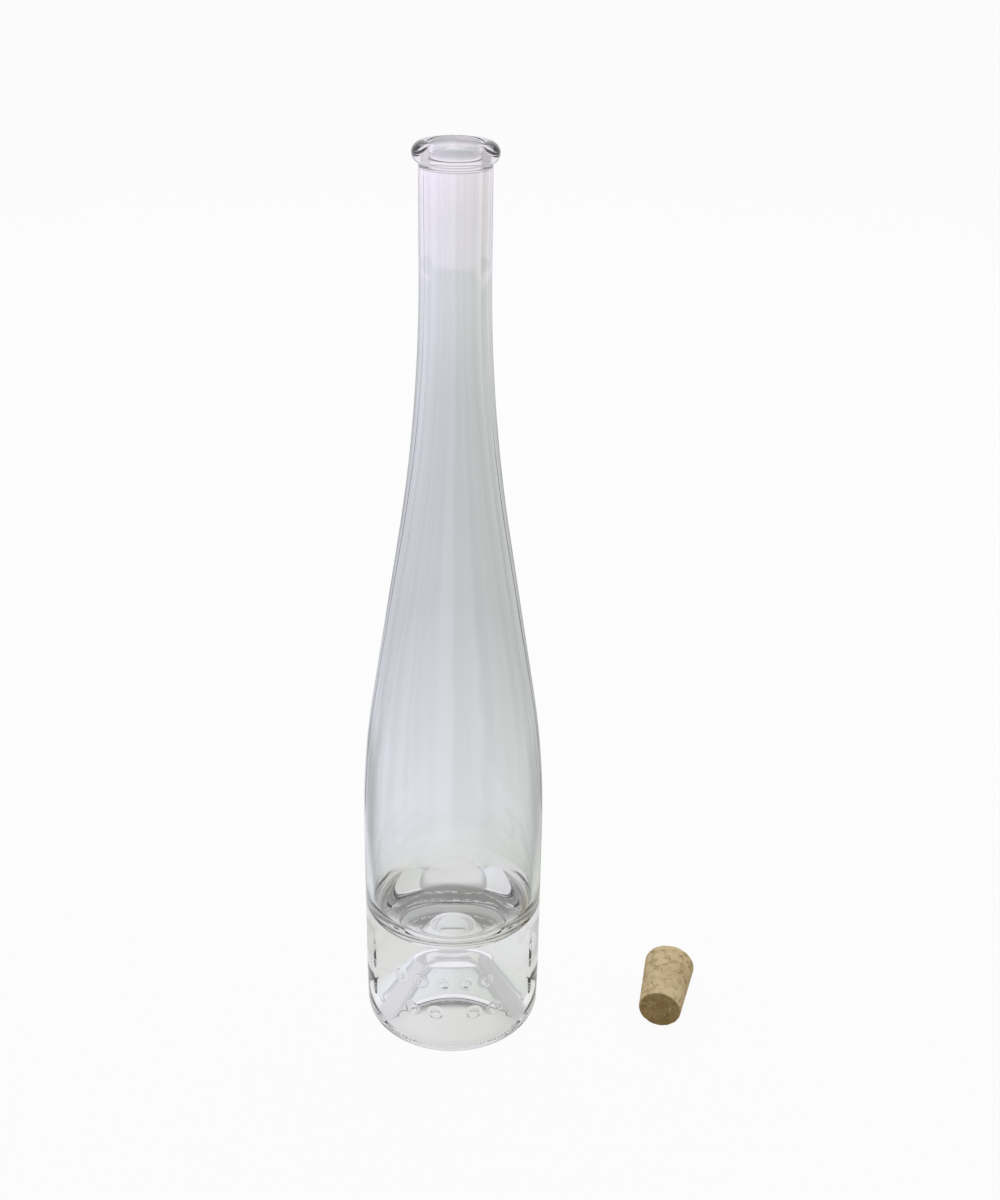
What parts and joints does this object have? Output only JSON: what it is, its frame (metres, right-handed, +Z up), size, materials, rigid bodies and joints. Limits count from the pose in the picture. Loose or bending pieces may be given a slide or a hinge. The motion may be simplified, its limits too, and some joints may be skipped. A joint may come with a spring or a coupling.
{
  "type": "glass bottle with tapered cork",
  "caption": "Tall slim clear glass bottle with a thick base, a long tapering shoulder and a bead lip, and its tapered cork lying beside it.",
  "frame": {"origin": "centre of the bottle's base, on the surface that it stands on", "axes": "+Z up the bottle's axis and out of its mouth, +X towards the side where the cork lies, -Y towards the front"},
  "size_m": [0.1244, 0.0638, 0.32],
  "materials": {
    "clear_glass": "clear, polished, faint mould waviness",
    "cork": "agglomerated cork, matt, fine granules and pits"
  },
  "bodies": {
    "bottle": {"glass_bottle": "clear_glass"},
    "cork": {"cork_stopper": "cork"}
  },
  "joints": [
    {"name": "cork_lift", "type": "slide", "parent": "bottle", "child": "cork", "axis": [0, 0, 1], "range_m": [0, 0.32]}
  ]
}
